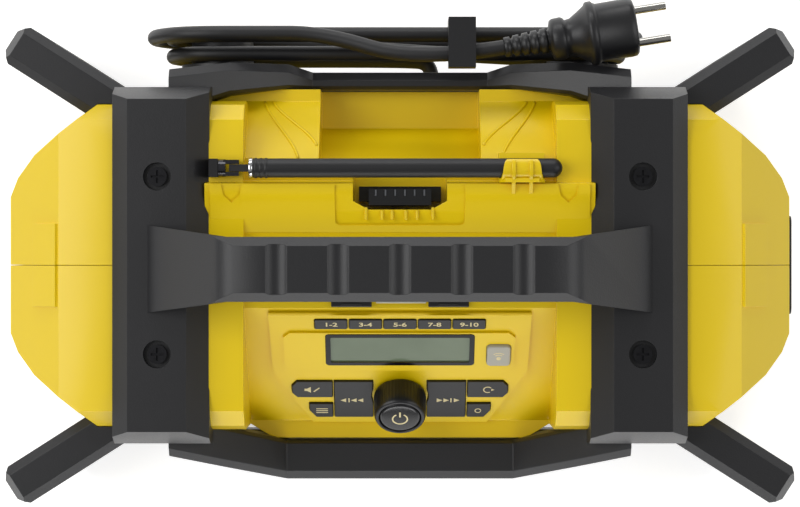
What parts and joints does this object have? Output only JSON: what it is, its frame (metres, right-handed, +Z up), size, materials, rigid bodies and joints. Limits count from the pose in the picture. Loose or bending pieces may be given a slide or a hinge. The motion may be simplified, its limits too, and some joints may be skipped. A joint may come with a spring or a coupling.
{
  "type": "jobsite radio",
  "caption": "Rugged site radio with roll cage, carry handle, sloped control panel, battery dock, folding aerial, two front speakers and a wound mains lead.",
  "frame": {"origin": "centre of the rest plane under the rubber feet, lead and plug left out", "axes": "+X to the radio's right along its length, +Y to the back, +Z up"},
  "size_m": [0.4609, 0.2966, 0.264],
  "materials": {
    "yellow_abs": "satin",
    "black_textured_pp": "textured",
    "display_glass": "gloss",
    "display_module": "matte",
    "black_rubber": "matte",
    "plated_metal": "plated",
    "grille_steel": "matte",
    "inner_steel": "satin",
    "circuit_board": "matte",
    "grey_abs": "satin",
    "black_abs": "satin"
  },
  "bodies": {
    "root": {"aerial_clip": "yellow_abs", "aerial_socket": "black_abs", "aux_jack": "grey_abs", "battery_terminal_blades": "plated_metal", "battery_terminal_block": "black_abs", "carry_handle": "black_textured_pp", "control_fascia": "yellow_abs", "cord_cleats": "black_textured_pp", "cord_clip": "black_rubber", "cord_gland": "black_rubber", "corner_guard_front_left": "black_textured_pp", "corner_guard_front_right": "black_textured_pp", "corner_guard_rear_left": "black_textured_pp", "corner_guard_rear_right": "black_textured_pp", "display_module": "display_module", "display_window": "display_glass", "end_bumper": "black_textured_pp", "front_housing": "yellow_abs", "front_lower_rail": "black_textured_pp", "front_upper_rail": "black_textured_pp", "key_board": "circuit_board", "main_board": "circuit_board", "plug_body": "black_rubber", "plug_pins": "plated_metal", "power_cord": "black_rubber", "power_supply_board": "circuit_board", "rear_housing": "yellow_abs", "rear_lower_rail": "black_textured_pp", "rear_upper_rail": "black_textured_pp", "rubber_feet": "black_rubber", "speaker_cone_left": "black_abs", "speaker_cone_right": "black_abs", "speaker_frame_left": "inner_steel", "speaker_frame_right": "inner_steel", "speaker_grille_left": "grille_steel", "speaker_grille_right": "grille_steel", "strap_left": "black_textured_pp", "strap_right": "black_textured_pp", "strap_screws": "plated_metal", "transformer": "inner_steel", "usb_port": "grey_abs", "volume_encoder": "black_abs"},
    "knob": {"volume_knob": "black_abs"},
    "power": {"power_button": "black_abs"},
    "aerial_base": {"aerial_knuckle": "plated_metal"},
    "aerial": {"aerial_rod": "black_rubber"},
    "aux_cover": {"aux_flap": "black_rubber"},
    "usb_cover": {"usb_flap": "black_rubber"},
    "preset_key_1_body": {"preset_key_1": "black_abs"},
    "preset_key_2_body": {"preset_key_2": "black_abs"},
    "preset_key_3_body": {"preset_key_3": "black_abs"},
    "preset_key_4_body": {"preset_key_4": "black_abs"},
    "preset_key_5_body": {"preset_key_5": "black_abs"},
    "pair_key_body": {"pair_key": "grey_abs"},
    "mute_key_body": {"mute_key": "black_abs"},
    "menu_key_body": {"menu_key": "black_abs"},
    "seek_back_key_body": {"seek_back_key": "black_abs"},
    "mode_key_body": {"mode_key": "black_abs"},
    "enter_key_body": {"enter_key": "black_abs"},
    "seek_forward_key_body": {"seek_forward_key": "black_abs"}
  },
  "joints": [
    {"name": "preset_key_1_press", "type": "slide", "parent": "root", "child": "preset_key_1_body", "axis": [0, 0.7225, -0.6914], "range_m": [0, 0.001], "stiffness_N_per_m": 600},
    {"name": "preset_key_2_press", "type": "slide", "parent": "root", "child": "preset_key_2_body", "axis": [0, 0.7225, -0.6914], "range_m": [0, 0.001], "stiffness_N_per_m": 600},
    {"name": "preset_key_3_press", "type": "slide", "parent": "root", "child": "preset_key_3_body", "axis": [0, 0.7225, -0.6914], "range_m": [0, 0.001], "stiffness_N_per_m": 600},
    {"name": "preset_key_4_press", "type": "slide", "parent": "root", "child": "preset_key_4_body", "axis": [0, 0.7225, -0.6914], "range_m": [0, 0.001], "stiffness_N_per_m": 600},
    {"name": "preset_key_5_press", "type": "slide", "parent": "root", "child": "preset_key_5_body", "axis": [0, 0.7225, -0.6914], "range_m": [0, 0.001], "stiffness_N_per_m": 600},
    {"name": "pair_key_press", "type": "slide", "parent": "root", "child": "pair_key_body", "axis": [0, 0.7225, -0.6914], "range_m": [0, 0.001], "stiffness_N_per_m": 600},
    {"name": "mute_key_press", "type": "slide", "parent": "root", "child": "mute_key_body", "axis": [0, 0.7225, -0.6914], "range_m": [0, 0.001], "stiffness_N_per_m": 600},
    {"name": "menu_key_press", "type": "slide", "parent": "root", "child": "menu_key_body", "axis": [0, 0.7225, -0.6914], "range_m": [0, 0.001], "stiffness_N_per_m": 600},
    {"name": "seek_back_key_press", "type": "slide", "parent": "root", "child": "seek_back_key_body", "axis": [0, 0.7225, -0.6914], "range_m": [0, 0.001], "stiffness_N_per_m": 600},
    {"name": "mode_key_press", "type": "slide", "parent": "root", "child": "mode_key_body", "axis": [0, 0.7225, -0.6914], "range_m": [0, 0.001], "stiffness_N_per_m": 600},
    {"name": "enter_key_press", "type": "slide", "parent": "root", "child": "enter_key_body", "axis": [0, 0.7225, -0.6914], "range_m": [0, 0.001], "stiffness_N_per_m": 600},
    {"name": "seek_forward_key_press", "type": "slide", "parent": "root", "child": "seek_forward_key_body", "axis": [0, 0.7225, -0.6914], "range_m": [0, 0.001], "stiffness_N_per_m": 600},
    {"name": "power_press", "type": "slide", "parent": "root", "child": "power", "axis": [0, 0.7225, -0.6914], "range_m": [0, 0.001], "stiffness_N_per_m": 600},
    {"name": "volume_turn", "type": "hinge", "parent": "root", "child": "knob", "pos_m": [0, -0.08206, 0.14942], "axis": [0, -0.7225, 0.6914], "continuous": true},
    {"name": "aerial_swivel", "type": "hinge", "parent": "root", "child": "aerial_base", "pos_m": [-0.101, 0.0557, 0.206], "axis": [1, 0, 0], "range_deg": [-85, 20]},
    {"name": "aerial_fold", "type": "hinge", "parent": "aerial_base", "child": "aerial", "pos_m": [-0.096, 0.0557, 0.206], "axis": [0, -1, 0], "range_deg": [0, 90]},
    {"name": "aux_flap_open", "type": "hinge", "parent": "root", "child": "aux_cover", "pos_m": [-0.028, -0.015, 0.1953], "axis": [-1, 0, 0], "range_deg": [0, 90]},
    {"name": "usb_flap_open", "type": "hinge", "parent": "root", "child": "usb_cover", "pos_m": [0.028, -0.015, 0.1953], "axis": [-1, 0, 0], "range_deg": [0, 90]}
  ]
}
